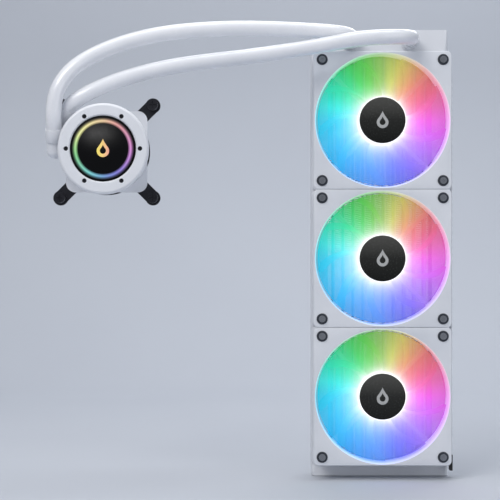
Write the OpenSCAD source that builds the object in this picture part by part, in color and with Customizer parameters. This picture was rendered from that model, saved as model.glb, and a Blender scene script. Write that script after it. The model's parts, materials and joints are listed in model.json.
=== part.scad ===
// Sealed liquid cooling loop: a 360 mm class radiator with three 120 mm fans,
// two hoses and a round pump head with a copper cold plate.
// Millimetres. X right, +Y towards the panel the radiator bolts to, +Z up.
// Origin: centre of the radiator's rear mounting face.

/* [Radiator] */
// Depth of the radiator block
rad_depth = 27; // [27:0.5:30]
// Height of the upper tank, which carries the two barbs
tank_top_h = 22; // [20:0.5:24]
// Height of the lower tank
tank_bottom_h = 12; // [11:0.5:14]
// Wall of both tanks
tank_wall = 1.5; // [1.2:0.1:2]
// Number of flat coolant tubes
tube_count = 12; // [12]
// Thickness of one flat tube
tube_t = 2; // [1.8:0.1:2.2]
// Height of one fold of the cooling fins
fin_pitch = 10; // [10:2:20]
// Thickness of the fin strip
fin_t = 0.3; // [0.25:0.05:0.4]

/* [Fans] */
// Side of one fan frame
fan_size = 120; // [120]
// Distance between mounting screws of one fan
fan_screw_pitch = 105; // [105]
// Depth of one fan frame
fan_depth = 25; // [25:0.5:27]
// Diameter of the round opening in the frame
fan_bore = 117; // [116:0.5:117.5]
// Diameter swept by the blade tips
blade_tip_d = 113; // [110:0.5:114]
// Number of blades on one rotor
blade_count = 9; // [7:1:9]
// Diameter of the rotor hub
hub_d = 42; // [41:0.5:43]
// Diameter of the round badge on the hub
badge_d = 40; // [36:0.5:40]

/* [Hoses] */
// Outer diameter of a hose
hose_od = 13; // [12.4:0.1:13]
// Inner diameter of a hose
hose_id = 8.5; // [8.4:0.1:9]
// Height of the barbs above the radiator's centre
barb_z = 191.5; // [191:0.5:192]
// Distance of each barb from the radiator's centre line
barb_x = 26; // [25:0.5:27]

/* [Pump head] */
// Centre of the pump head, across
pump_x = -236.5; // [-238:0.5:-235]
// Centre of the pump head, up
pump_z = 90; // [89:0.5:91]
// Plane of the cold plate's face
plate_y = -76; // [-77:0.5:-75]
// Outer radius of the cover ring
cover_r = 37.4; // [37:0.1:38]
// Radius of the dark front cap
cap_r = 27; // [26.5:0.1:27]
// Inner radius of the light ring
light_r0 = 20.8; // [20:0.1:21]
// Outer radius of the light ring
light_r1 = 25.2; // [24.6:0.1:25.4]
// Distance between spring screws
bracket_pitch = 78; // [78]

/* [Hidden] */

$fn = 64;
e = 0.1;                                  // cut overlap
core_z = 180;                             // half height of the finned core
head_t = 2;                               // header plate thickness
tube_pitch = 9;
core_y0 = -rad_depth + 4.5;               // front and rear of the tube pack
core_y1 = -4.5;
tube_depth = core_y1 - core_y0;
fan_y1 = -rad_depth;                      // rear of the fans
fan_y0 = fan_y1 - fan_depth;              // front of the fans
fan_z = [fan_size, 0, -fan_size];         // fan centres, top to bottom
sp = fan_screw_pitch / 2;
bp = bracket_pitch / 2;
white = [0.90, 0.91, 0.92];
rest_white = [0.96, 0.96, 0.97];
black = [0.05, 0.05, 0.06];
steel = [0.66, 0.67, 0.69];
frost = [0.85, 0.93, 0.95];
copper = [0.80, 0.47, 0.30];

// ---------- helpers ----------
// cylinder along Y from y0 to y1, centred on x, z
module cyl_y(x, z, y0, y1, r, n = 64) {
    translate([x, y0, z]) rotate([-90, 0, 0]) cylinder(h = y1 - y0, r = r, $fn = n);
}
// ring along Y
module ring_y(x, z, y0, y1, r0, r1) {
    difference() {
        cyl_y(x, z, y0, y1, r1, 96);
        cyl_y(x, z, y0 - e, y1 + e, r0, 96);
    }
}
module box(x0, y0, z0, x1, y1, z1) {
    translate([x0, y0, z0]) cube([x1 - x0, y1 - y0, z1 - z0]);
}
// plate in XZ with round corners, from y0 to y1
module plate_y(w, h, r, y0, y1) {
    translate([0, y1, 0]) rotate([90, 0, 0]) linear_extrude(y1 - y0) union() {
        square([w - 2 * r, h], center = true);
        square([w, h - 2 * r], center = true);
        for (i = [-1, 1], j = [-1, 1]) translate([i * (w / 2 - r), j * (h / 2 - r)]) circle(r = r, $fn = 32);
    }
}
// box with four round edges along Z, from z0 to z1
module tank_block(w, y0, y1, r, z0, z1) {
    translate([0, 0, z0]) linear_extrude(z1 - z0) union() {
        translate([-w / 2 + r, y0]) square([w - 2 * r, y1 - y0]);
        translate([-w / 2, y0 + r]) square([w, y1 - y0 - 2 * r]);
        for (i = [-1, 1], y = [y0 + r, y1 - r]) translate([i * (w / 2 - r), y]) circle(r = r, $fn = 32);
    }
}
function unit(v) = v / norm(v);
function bez(a, b, c, d, t) =
    (a * pow(1 - t, 3) + b * (3 * t * t * t - 6 * t * t + 4) + c * (-3 * t * t * t + 3 * t * t + 3 * t + 1) + d * t * t * t) / 6;
// smooth curve through the neighbourhood of the waypoints, ends held
function curve(w, n) = let (c = concat([w[0], w[0]], w, [w[len(w) - 1], w[len(w) - 1]]))
    concat([for (i = [0 : len(c) - 4]) for (k = [0 : n - 1]) bez(c[i], c[i + 1], c[i + 2], c[i + 3], k / n)], [w[len(w) - 1]]);
function tangent(p, i) = unit(p[min(i + 1, len(p) - 1)] - p[max(i - 1, 0)]);
function loop_pts(p, r, m, ref) = [for (i = [0 : len(p) - 1])
    let (t = tangent(p, i), u = unit(cross(t, ref)), v = cross(t, u))
    for (j = [0 : m - 1]) p[i] + r * (u * cos(360 * j / m) + v * sin(360 * j / m))];
function skin(n, m, o, flip) = [for (i = [0 : n - 2]) for (j = [0 : m - 1])
    let (a = o + i * m + j, b = o + i * m + (j + 1) % m, c = b + m, d = a + m) flip ? [a, b, c, d] : [d, c, b, a]];
// hollow tube along a list of points
module tube_along(p, ro, ri, m, ref) {
    n = len(p);
    o = n * m;
    polyhedron(points = concat(loop_pts(p, ro, m, ref), loop_pts(p, ri, m, ref)),
        faces = concat(skin(n, m, 0, true), skin(n, m, o, false),
            [for (j = [0 : m - 1]) [j, o + j, o + (j + 1) % m, (j + 1) % m]],
            [for (j = [0 : m - 1]) let (q = (n - 1) * m) [q + (j + 1) % m, q + o + (j + 1) % m, q + o + j, q + j]]),
        convexity = 10);
}
// solid rod along a list of points
module rod_along(p, r, m, ref) {
    n = len(p);
    polyhedron(points = loop_pts(p, r, m, ref),
        faces = concat(skin(n, m, 0, true), [[for (j = [0 : m - 1]) m - 1 - j]], [[for (j = [0 : m - 1]) (n - 1) * m + j]]),
        convexity = 10);
}

// ---------- radiator ----------
module flat_tube_2d(t, d) {
    union() {
        square([t, d - t], center = true);
        for (i = [-1, 1]) translate([0, i * (d - t) / 2]) circle(d = t, $fn = 24);
    }
}
function tube_x(i) = (i - (tube_count - 1) / 2) * tube_pitch;
module radiator_tubes() {
    color(white) for (i = [0 : tube_count - 1])
        translate([tube_x(i), (core_y0 + core_y1) / 2, -core_z - 3]) linear_extrude(2 * core_z + 6) difference() {
            flat_tube_2d(tube_t, tube_depth);
            flat_tube_2d(tube_t - 0.7, tube_depth - 0.7);
        }
}
// one folded fin strip between x0 and x1
module fin_strip(x0, x1) {
    n = floor((2 * core_z - 2) / fin_pitch);
    z0 = -n * fin_pitch / 2;
    w = fin_t * 1.7;                      // strip thickness measured across
    translate([0, core_y1 - 0.5, 0]) rotate([90, 0, 0]) linear_extrude(tube_depth - 1) polygon(concat(
        [for (k = [0 : 2 * n]) [k % 2 == 0 ? x0 + w : x1, z0 + k * fin_pitch / 2]],
        [for (k = [2 * n : -1 : 0]) [k % 2 == 0 ? x0 : x1 - w, z0 + k * fin_pitch / 2]]));
}
module radiator_fins() {
    g = 0.05;
    color(white) union() {
        for (i = [0 : tube_count - 2]) fin_strip(tube_x(i) + tube_t / 2 + g, tube_x(i + 1) - tube_t / 2 - g);
        fin_strip(-58.7, tube_x(0) - tube_t / 2 - g);
        fin_strip(tube_x(tube_count - 1) + tube_t / 2 + g, 58.7);
    }
}
module header_plate(z0) {
    color(white) difference() {
        tank_block(fan_size, -rad_depth, 0, 2, z0, z0 + head_t);
        for (i = [0 : tube_count - 1])
            translate([tube_x(i), (core_y0 + core_y1) / 2, z0 - e]) linear_extrude(head_t + 2 * e)
                flat_tube_2d(tube_t + 0.06, tube_depth + 0.06);
    }
}
module header_plate_top() { header_plate(core_z); }
module header_plate_bottom() { header_plate(-core_z - head_t); }
module tank_top() {
    z1 = core_z + tank_top_h;
    color(white) difference() {
        tank_block(fan_size, -rad_depth, 0, 3, core_z + head_t, z1);
        tank_block(fan_size - 2 * tank_wall, -rad_depth + tank_wall, -tank_wall, 2, core_z + head_t - e, z1 - tank_wall);
        for (x = [-barb_x, barb_x]) cyl_y(x, barb_z, -rad_depth - e, -rad_depth + tank_wall + 1, 4);
        translate([48, -rad_depth / 2, z1 - tank_wall - 1]) cylinder(h = tank_wall + 2, r = 3.1);
    }
}
// wall that splits the upper tank into an inlet and an outlet side
module tank_divider() {
    color(white) box(-0.6, -rad_depth + tank_wall + 0.1, core_z + head_t + 0.1, 0.6, -tank_wall - 0.1, core_z + tank_top_h - tank_wall - 0.1);
}
module tank_bottom() {
    z0 = -core_z - tank_bottom_h;
    color(white) difference() {
        tank_block(fan_size, -rad_depth, 0, 3, z0, -core_z - head_t);
        tank_block(fan_size - 2 * tank_wall, -rad_depth + tank_wall, -tank_wall, 2, z0 + tank_wall, -core_z - head_t + e);
    }
}
// folded side rail, s = -1 left, 1 right
module side_channel(s) {
    x1 = fan_size / 2;
    color(white) difference() {
        union() {
            box(s > 0 ? x1 - 1.2 : -x1, -rad_depth, -core_z, s > 0 ? x1 : -x1 + 1.2, 0, core_z);
            for (y = [-rad_depth, -1.2])
                box(s > 0 ? 46 : -x1, y, -core_z, s > 0 ? x1 : -46, y + 1.2, core_z);
        }
        for (z = fan_z, k = [-1, 1]) {
            cyl_y(s * sp, z + k * sp, -rad_depth - e, -rad_depth + 2, 1.75);
            cyl_y(s * sp, z + k * sp, -2, e, 1.5);
        }
    }
}
module side_channel_left() { side_channel(-1); }
module side_channel_right() { side_channel(1); }
module radiator_barbs() {
    y = -rad_depth;
    color(white) for (x = [-barb_x, barb_x]) difference() {
        union() {
            cyl_y(x, barb_z, y - 2, y, 8);
            cyl_y(x, barb_z, y - 16, y + tank_wall + 0.4, 3.8);
            for (k = [0 : 2]) translate([x, y - 5 - 4 * k, barb_z]) rotate([90, 0, 0]) cylinder(h = 2.2, r1 = 4.08, r2 = 3.7);
        }
        cyl_y(x, barb_z, y - 17, y + 4, 2.8);
    }
}
module fill_plug() {
    z1 = core_z + tank_top_h;
    color(black) difference() {
        translate([48, -rad_depth / 2, 0]) union() {
            translate([0, 0, z1 - tank_wall - 0.8]) cylinder(h = tank_wall + 0.8, r = 3);
            translate([0, 0, z1]) cylinder(h = 1.4, r = 4.6);
        }
        translate([48, -rad_depth / 2, z1 + 0.6]) cylinder(h = 2, r = 2, $fn = 6);
    }
}

// ---------- hoses ----------
// corner and direction of each swivel elbow on the pump head
low_c = [pump_x - 41.7, plate_y - 26, pump_z];
low_d = [0, -sin(24), cos(24)];
up_c = [pump_x + 43.7 * cos(153.5), plate_y - 18.5, pump_z + 43.7 * sin(153.5)];
up_d = [sin(30) * cos(25), -sin(25), cos(30) * cos(25)];
function lead(c, d, a) = [for (t = a) c + d * t];
// outer hose: from the left barb over the top, down to the lower elbow
supply_way = concat(
    lead([-barb_x, -rad_depth - 2, barb_z], [0, -1, 0], [0, 6, 12, 18]),
    [[-27.5, -58, 192.3], [-39, -67, 193.7], [-60, -69, 194.7], [-91, -72, 196], [-124, -76, 196],
     [-155, -82, 194], [-186, -89, 190], [-215, -96, 183], [-242, -104, 172], [-265.3, -110.5, 157], [-277.2, -114.5, 137]],
    lead(low_c, low_d, [31, 25, 19, 13, 8]));
// inner hose: from the right barb, in front of the first, to the upper elbow
return_way = concat(
    lead([barb_x, -rad_depth - 2, barb_z], [0, -1, 0], [0, 6, 12, 18]),
    [[25, -60, 190.3], [17, -72, 189.3], [0, -77.5, 188.5], [-24, -78.5, 187], [-58, -78.5, 180], [-90, -79, 175],
     [-121, -80.5, 170.4], [-152, -84, 166.6], [-180, -89, 162.1], [-207, -95, 155.4], [-231, -101, 147], [-251, -105.5, 137.6]],
    lead(up_c, up_d, [25, 19, 13, 8]));
hose_ref = unit([1, 1, -1]);
module hose(way) {
    color(rest_white) tube_along(curve(way, 2), hose_od / 2, hose_id / 2, 14, hose_ref);
}
module hose_supply() { hose(supply_way); }
module hose_return() { hose(return_way); }
// crimp sleeve around a hose end, drawn along +Z
module ferrule() {
    difference() {
        cylinder(h = 11, r = hose_od / 2 + 0.75);
        translate([0, 0, -e]) cylinder(h = 12, r = hose_od / 2 + 0.05);
    }
}
module hose_ferrules_radiator() {
    color(rest_white) for (x = [-barb_x, barb_x]) translate([x, -rad_depth - 2.5, barb_z]) rotate([90, 0, 0]) ferrule();
}
module hose_ferrules_pump() {
    color(rest_white) {
        translate(low_c) rotate([24, 0, 0]) translate([0, 0, 8.2]) ferrule();
        translate(up_c) rotate([25, 30, 0]) translate([0, 0, 8.2]) ferrule();
    }
}

// ---------- fans ----------
module fan_screws() {
    color(black) for (z = fan_z, i = [-1, 1], k = [-1, 1]) translate([i * sp, 0, z + k * sp]) difference() {
        union() {
            cyl_y(0, 0, fan_y0 - 2.4, fan_y0 - 0.7, 2.9, 32);
            cyl_y(0, 0, fan_y0 - 0.8, fan_y1 + 3, 1.68, 32);
        }
        translate([0, fan_y0 - 2.5, 0]) box(-1.8, 0, -0.4, 1.8, 1.1, 0.4);
        translate([0, fan_y0 - 2.5, 0]) box(-0.4, 0, -1.8, 0.4, 1.1, 1.8);
    }
}
module fan_washers() {
    color(black) for (z = fan_z, i = [-1, 1], k = [-1, 1]) ring_y(i * sp, z + k * sp, fan_y0 - 0.65, fan_y0 - 0.02, 2, 4.8);
}
module fan_frame(z) {
    c = fan_size / 2;
    color(white) translate([0, 0, z]) difference() {
        union() {
            plate_y(fan_size - 0.2, fan_size - 0.2, 4, fan_y0, fan_y0 + 4);
            plate_y(fan_size - 0.2, fan_size - 0.2, 4, fan_y1 - 4, fan_y1 - 0.02);
            cyl_y(0, 0, fan_y0 + 1, fan_y1 - 1, c - 0.1, 128);
            for (i = [-1, 1], k = [-1, 1]) cyl_y(i * sp, k * sp, fan_y0 + 1, fan_y1 - 1, 4.6, 48);
        }
        difference() {
            cyl_y(0, 0, fan_y0 - e, fan_y1 + e, fan_bore / 2, 128);
            // motor base and its four struts stay
            cyl_y(0, 0, fan_y1 - 4, fan_y1 + 1, 20, 64);
            for (a = [45 : 90 : 315]) rotate([0, a, 0]) box(10, fan_y1 - 3.5, -2, c, fan_y1 + 1, 2);
            cyl_y(0, 0, fan_y1 - 18, fan_y1 - 3, 5.4, 48);
        }
        for (i = [-1, 1], k = [-1, 1]) cyl_y(i * sp, k * sp, fan_y0 - e, fan_y1 + e, 2.15, 48);
        cyl_y(0, 0, fan_y1 - 19, fan_y1 - 1.5, 4.05, 48);
        // wire notch in the rear corner
        box(c - 3, fan_y1 - 4.5, 38, c + 1, fan_y1 + 1, 47.6);
    }
}
module fan_frame_1() { fan_frame(fan_z[0]); }
module fan_frame_2() { fan_frame(fan_z[1]); }
module fan_frame_3() { fan_frame(fan_z[2]); }
// swept blade: u runs root to tip, v from leading to trailing edge
function blade_pt(u, v, side) =
    let (r = hub_d / 2 - 0.6 + (blade_tip_d / 2 - hub_d / 2 + 0.6) * u,
         span = 414 / blade_count * (1 + 0.08 * u),
         a = -26 * pow(u, 1.4) + span * v,
         camber = 1.6 * sin(180 * v) * (1 - 0.4 * u),
         y = fan_y0 + 3.6 + (14.6 - 3.4 * u) * v - camber + side * (0.75 - 0.25 * u))
    [r * sin(a), y, r * cos(a)];
module fan_blade(n = 5, m = 5) {
    s = (n + 1) * (m + 1);
    function id(i, j, k) = k * s + i * (m + 1) + j;
    polyhedron(points = [for (k = [0, 1]) for (i = [0 : n]) for (j = [0 : m]) blade_pt(i / n, j / m, k * 2 - 1)],
        faces = concat(
            [for (i = [0 : n - 1]) for (j = [0 : m - 1]) [id(i, j, 0), id(i + 1, j, 0), id(i + 1, j + 1, 0)]],
            [for (i = [0 : n - 1]) for (j = [0 : m - 1]) [id(i, j, 0), id(i + 1, j + 1, 0), id(i, j + 1, 0)]],
            [for (i = [0 : n - 1]) for (j = [0 : m - 1]) [id(i, j, 1), id(i + 1, j + 1, 1), id(i + 1, j, 1)]],
            [for (i = [0 : n - 1]) for (j = [0 : m - 1]) [id(i, j, 1), id(i, j + 1, 1), id(i + 1, j + 1, 1)]],
            [for (i = [0 : n - 1]) [id(i, 0, 0), id(i, 0, 1), id(i + 1, 0, 1), id(i + 1, 0, 0)]],
            [for (i = [0 : n - 1]) [id(i, m, 0), id(i + 1, m, 0), id(i + 1, m, 1), id(i, m, 1)]],
            [for (j = [0 : m - 1]) [id(0, j, 0), id(0, j + 1, 0), id(0, j + 1, 1), id(0, j, 1)]],
            [for (j = [0 : m - 1]) [id(n, j, 0), id(n, j, 1), id(n, j + 1, 1), id(n, j + 1, 0)]]),
        convexity = 6);
}
module fan_rotor(z) {
    color(frost) translate([0, 0, z]) union() {
        difference() {
            cyl_y(0, 0, fan_y0 + 1.4, fan_y1 - 5.6, hub_d / 2, 96);
            cyl_y(0, 0, fan_y0 + 3, fan_y1 - 5, hub_d / 2 - 1.5, 96);
        }
        difference() {
            cyl_y(0, 0, fan_y0 + 2.5, fan_y0 + 6.5, 3.6, 48);
            cyl_y(0, 0, fan_y0 + 3.4, fan_y0 + 7, 1.45, 48);
        }
        for (k = [0 : blade_count - 1]) rotate([0, 360 * k / blade_count, 0]) fan_blade();
    }
}
module fan_rotor_1() { fan_rotor(fan_z[0]); }
module fan_rotor_2() { fan_rotor(fan_z[1]); }
module fan_rotor_3() { fan_rotor(fan_z[2]); }
module fan_badge(z) { color(black) cyl_y(0, z, fan_y0 + 0.5, fan_y0 + 1.35, badge_d / 2, 96); }
module fan_badge_1() { fan_badge(fan_z[0]); }
module fan_badge_2() { fan_badge(fan_z[1]); }
module fan_badge_3() { fan_badge(fan_z[2]); }
module fan_magnet(z) { color(steel) ring_y(0, z, fan_y0 + 4, fan_y1 - 6.5, hub_d / 2 - 3.6, hub_d / 2 - 1.6); }
module fan_magnet_1() { fan_magnet(fan_z[0]); }
module fan_magnet_2() { fan_magnet(fan_z[1]); }
module fan_magnet_3() { fan_magnet(fan_z[2]); }
module fan_shaft(z) { color(steel) cyl_y(0, z, fan_y0 + 3.5, fan_y1 - 2.2, 1.4, 48); }
module fan_shaft_1() { fan_shaft(fan_z[0]); }
module fan_shaft_2() { fan_shaft(fan_z[1]); }
module fan_shaft_3() { fan_shaft(fan_z[2]); }
module fan_bearings() { color(copper) for (z = fan_z) ring_y(0, z, fan_y1 - 17, fan_y1 - 1.9, 1.45, 4); }
module fan_stators() {
    color(steel) for (z = fan_z) translate([0, 0, z]) difference() {
        intersection() {
            cyl_y(0, 0, fan_y1 - 15.5, fan_y1 - 8.5, hub_d / 2 - 4.4, 96);
            union() {
                cyl_y(0, 0, fan_y1 - 16, fan_y1 - 8, 8, 64);
                for (a = [0, 90]) rotate([0, a, 0]) box(-20, fan_y1 - 16, -2, 20, fan_y1 - 8, 2);
                difference() {
                    for (a = [0, 90]) rotate([0, a, 0]) box(-20, fan_y1 - 16, -8, 20, fan_y1 - 8, 8);
                    cyl_y(0, 0, fan_y1 - 17, fan_y1 - 7, 14.4, 96);
                }
            }
        }
        cyl_y(0, 0, fan_y1 - 17, fan_y1 - 7, 5.5, 48);
    }
}
module fan_windings() {
    color(copper) for (z = fan_z, a = [0 : 90 : 270]) translate([0, 0, z]) rotate([0, a, 0]) difference() {
        box(9, fan_y1 - 17, -3.8, 12.6, fan_y1 - 7, 3.8);
        box(8, fan_y1 - 15.6, -2.1, 13, fan_y1 - 8.4, 2.1);
    }
}
module fan_circuit_boards() {
    color([0.05, 0.25, 0.12]) for (z = fan_z) ring_y(0, z, fan_y1 - 5.6, fan_y1 - 4.4, 5.6, 15);
}
// three wires run down the hidden side of the stack to a row of plugs
module fan_cables() {
    m = 6;
    color(white) for (k = [0 : 2]) {
        y = fan_y1 - 4.5 - 3 * (2 - k);   // upper fans take the lanes further out
        rod_along(concat(
            [[57.6, fan_y1 - 1.3, fan_z[k] + 46], [60.1, fan_y1 - 1.5, fan_z[k] + 45.4]],
            [for (a = [15 : 15 : 75]) [60.1 + 1.3 * sin(a), fan_y1 - 1.5 + (y - fan_y1 + 1.5) * (1 - cos(a)), fan_z[k] + 45.4 - 8 * sin(a)]],
            [[61.45, y, fan_z[k] + 34], [61.45, y, -172]]), 1.15, m, [1, 0, 0.01]);
    }
}
module fan_connectors() {
    color(black) for (k = [0 : 2]) let (y = fan_y1 - 4.5 - 3 * k)
        difference() {
            box(60.25, y - 1.35, -186, 62.65, y + 1.35, -172.1);
            for (i = [-0.7, 0.7]) box(61.45 + i - 0.3, y - 0.4, -186.1, 61.45 + i + 0.3, y + 0.4, -180);
        }
}

// ---------- pump head ----------
// h is the height above the cold plate's face, towards the front
module cyl_h(x, z, h0, h1, r, n = 64) { cyl_y(pump_x + x, pump_z + z, plate_y - h1, plate_y - h0, r, n); }
module ring_h(h0, h1, r0, r1) { ring_y(pump_x, pump_z, plate_y - h1, plate_y - h0, r0, r1); }
module box_h(x0, h0, z0, x1, h1, z1) { box(pump_x + x0, plate_y - h1, pump_z + z0, pump_x + x1, plate_y - h0, pump_z + z1); }
// drilling from r0 to r1 at angle a, height h
module radial(a, h, r0, r1, r) {
    translate([pump_x, plate_y - h, pump_z]) rotate([0, -a, 0]) translate([r0, 0, 0]) rotate([0, 90, 0]) cylinder(h = r1 - r0, r = r, $fn = 48);
}
low_a = 180;
module pump_body() {
    color(rest_white) difference() {
        union() {
            cyl_h(0, 0, 3, 6.6, 33.5, 96);
            cyl_h(0, 0, 3, 44, 30, 96);
            for (k = [0 : 5]) cyl_h(30.4 * cos(60 * k), 30.4 * sin(60 * k), 38, 44, 2.8, 32);
            // square flange whose corners show past the round cover
            translate([pump_x, 0, pump_z]) plate_y(68.6, 68.6, 8, plate_y - 10.8, plate_y - 9);
            radial(low_a, 26, 27, 31.4, 6.9);
            radial(153.5, 18.5, 27, 31.4, 6.9);
        }
        cyl_h(0, 0, 2.9, 6.5, 24.5, 96);
        cyl_h(0, 0, 6.4, 16.5, 14, 96);
        cyl_h(0, 0, 16, 30, 6.6);
        cyl_h(0, 0, 29, 31.2, 1.55, 48);
        difference() {
            cyl_h(0, 0, 22.5, 36, 18, 96);
            cyl_h(0, 0, 22, 32.5, 8);
        }
        cyl_h(0, 0, 34, 44.1, 26, 96);
        ring_h(2.9, 4.2, 25.2, 26.8);
        radial(low_a, 26, 20, 32, 2.8);
        radial(low_a, 26, 27, 32, 4);
        radial(153.5, 18.5, 11, 32, 2.8);
        radial(153.5, 18.5, 27, 32, 4);
        cyl_h(21.5 * cos(low_a), 21.5 * sin(low_a), 6, 26, 2.4, 48);
        for (k = [0 : 7]) cyl_h(30.2 * cos(22.5 + 45 * k), 30.2 * sin(22.5 + 45 * k), 2.9, 6, 1.25, 32);
        for (k = [0 : 5]) cyl_h(30.4 * cos(60 * k), 30.4 * sin(60 * k), 38.5, 44.1, 0.95, 32);
    }
}
module pump_cover_ring() {
    translate([pump_x, plate_y, pump_z]) rotate([90, 0, 0]) color(rest_white) difference() {
        rotate_extrude($fn = 128) polygon([[cap_r + 0.15, 44.1], [35, 44.1], [35.4, 38], [cover_r - 0.6, 38], [cover_r, 38.6],
            [cover_r, 46], [cover_r - 0.6, 47.4], [cover_r - 2, 48], [cap_r + 1.4, 48], [cap_r + 0.15, 47.4]]);
        for (k = [0 : 5]) rotate([0, 0, 60 * k]) translate([30.4, 0, 0]) {
            translate([0, 0, 43]) cylinder(h = 3, r = 0.95, $fn = 32);
            translate([0, 0, 45.2]) cylinder(h = 4, r = 1.9, $fn = 48);
        }
    }
}
module pump_cover_screws() {
    color(black) for (k = [0 : 5]) let (x = 30.4 * cos(60 * k), z = 30.4 * sin(60 * k)) difference() {
        union() {
            cyl_h(x, z, 45.25, 46.8, 1.8, 48);
            cyl_h(x, z, 39, 45.3, 0.9, 32);
        }
        translate([pump_x + x, plate_y - 46.9, pump_z + z]) rotate([-90, 0, 0]) cylinder(h = 0.9, r = 0.9, $fn = 6);
    }
}
module pump_mirror_cap() {
    color(black) difference() {
        cyl_h(0, 0, 44.05, 47.2, cap_r, 128);
        ring_h(45, 47.3, light_r0, light_r1);
    }
}
module pump_light_ring() { color([0.95, 0.6, 0.9]) ring_h(45.05, 47.2, light_r0 + 0.05, light_r1 - 0.05); }
module pump_circuit_board() {
    color([0.05, 0.25, 0.12]) difference() {
        cyl_h(0, 0, 36.2, 37.8, 25.6, 96);
        cyl_h(0, 0, 36, 38, 3, 32);
        for (a = [45 : 90 : 315]) cyl_h(21 * cos(a), 21 * sin(a), 36, 38, 1.3, 32);
    }
}
module pump_stator() {
    color(copper) difference() {
        union() {
            difference() {
                cyl_h(0, 0, 22.7, 31, 17.8, 96);
                cyl_h(0, 0, 22, 32, 14.5, 96);
            }
            for (a = [0, 60, 120]) translate([pump_x, 0, pump_z]) rotate([0, a, 0]) box(-16, plate_y - 31, -2.4, 16, plate_y - 22.7, 2.4);
        }
        cyl_h(0, 0, 22, 32, 8.2);
    }
}
module jet_plate() {
    color(white) difference() {
        cyl_h(0, 0, 5, 6.4, 24.4, 96);
        cyl_h(0, 0, 4, 7, 1.55, 48);
        for (s = [-1, 1]) box_h(-8, 4, s * 4 - 1, 8, 7, s * 4 + 1);
        cyl_h(21.5 * cos(low_a), 21.5 * sin(low_a), 4, 7, 2.4, 48);
    }
}
module cold_plate() {
    color(copper) difference() {
        union() {
            cyl_h(0, 0, 0, 2.98, 33, 128);
            for (i = [-12 : 12]) box_h(i * 1.3 - 0.3, 2.9, -15, i * 1.3 + 0.3, 4.8, 15);
        }
        for (k = [0 : 7]) {
            cyl_h(30.2 * cos(22.5 + 45 * k), 30.2 * sin(22.5 + 45 * k), -e, 3.1, 1.25, 32);
            cyl_h(30.2 * cos(22.5 + 45 * k), 30.2 * sin(22.5 + 45 * k), -e, 1.5, 2.3, 48);
        }
    }
}
module cold_plate_gasket() { color(black) ring_h(3, 4.15, 25.3, 26.7); }
module cold_plate_screws() {
    color(steel) for (k = [0 : 7]) let (x = 30.2 * cos(22.5 + 45 * k), z = 30.2 * sin(22.5 + 45 * k)) difference() {
        union() {
            cyl_h(x, z, 0.2, 1.45, 2.2, 48);
            cyl_h(x, z, 1.4, 5.8, 1.2, 32);
        }
        translate([pump_x + x, plate_y - 0.9, pump_z + z]) rotate([-90, 0, 0]) cylinder(h = 0.9, r = 1, $fn = 6);
    }
}
module mounting_bracket() {
    color(black) difference() {
        union() {
            cyl_h(0, 0, 6.8, 8.8, 36.5, 96);
            for (a = [45 : 90 : 315]) {
                translate([pump_x, 0, pump_z]) rotate([0, a, 0]) box(32, plate_y - 8.8, -6, bp * sqrt(2), plate_y - 6.8, 6);
                cyl_h(bp * sqrt(2) * cos(a), bp * sqrt(2) * sin(a), 6.8, 8.8, 6.3, 48);
            }
        }
        cyl_h(0, 0, 6, 9, 30.2, 96);
        for (i = [-1, 1], k = [-1, 1]) cyl_h(i * bp, k * bp, 6, 9, 2.5, 48);
    }
}
// swivel elbow: c is the corner, a and h place its stub, rot turns the leg
module elbow(a, h, rc, c, rot) {
    color(rest_white) difference() {
        union() {
            radial(a, h, 27.4, 32, 3.9);
            radial(a, h, 31.6, 33.4, 6.9);
            radial(a, h, 33.2, rc, 6.6);
            translate(c) rotate(rot) sphere(r = 7, $fn = 64);
            translate(c) rotate(rot) {
                cylinder(h = 7.9, r = 6.6);
                cylinder(h = 20, r = 3.7);
                for (k = [0 : 2]) translate([0, 0, 9 + 4 * k]) cylinder(h = 2.2, r1 = 3.7, r2 = 4.08);
            }
        }
        radial(a, h, 27, rc + 2.4, 2.6);
        translate(c) rotate(rot) cylinder(h = 21, r = 2.6, $fn = 48);
    }
}
module hose_elbow_lower() { elbow(low_a, 26, 41.7, low_c, [24, 0, 0]); }
module hose_elbow_upper() { elbow(153.5, 18.5, 43.7, up_c, [25, 30, 0]); }
module impeller() {
    color(white) difference() {
        union() {
            cyl_h(0, 0, 8, 9.6, 12.6, 96);
            cyl_h(0, 0, 8, 28, 4);
            cyl_h(0, 0, 14.8, 16.2, 6);
            for (k = [0 : 5]) translate([pump_x, plate_y, pump_z]) rotate([0, 60 * k, 0])
                translate([3, -14.8, 1]) rotate([0, 12, 0]) cube([8.6, 5.4, 1.2]);
        }
        cyl_h(0, 0, 7, 29, 1.55, 48);
    }
}
module impeller_magnet() { color(steel) ring_h(17, 28, 4.05, 6); }
module impeller_shaft() { color(white) cyl_h(0, 0, 5.1, 31, 1.5, 48); }
// knurled spring screw: s and t pick the corner
module spring_screw(s, t) {
    x = s * bp;
    z = t * bp;
    color(black) difference() {
        union() {
            cyl_h(x, z, -8, 14.1, 1.5, 48);
            cyl_h(x, z, 5.4, 14.1, 2.35, 48);
            cyl_h(x, z, 5.4, 6.6, 3.4, 48);
            cyl_h(x, z, 14, 19.4, 4.6, 64);
        }
        for (k = [0 : 17]) cyl_h(x + 4.9 * cos(20 * k), z + 4.9 * sin(20 * k), 14.8, 19.5, 0.5, 16);
        translate([pump_x + x, plate_y - 19.5, pump_z + z]) {
            box(-3.1, 0, -0.5, 3.1, 1.6, 0.5);
            box(-0.5, 0, -3.1, 0.5, 1.6, 3.1);
        }
    }
}
module spring_screw_1() { spring_screw(-1, 1); }
module spring_screw_2() { spring_screw(1, 1); }
module spring_screw_3() { spring_screw(1, -1); }
module spring_screw_4() { spring_screw(-1, -1); }
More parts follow.
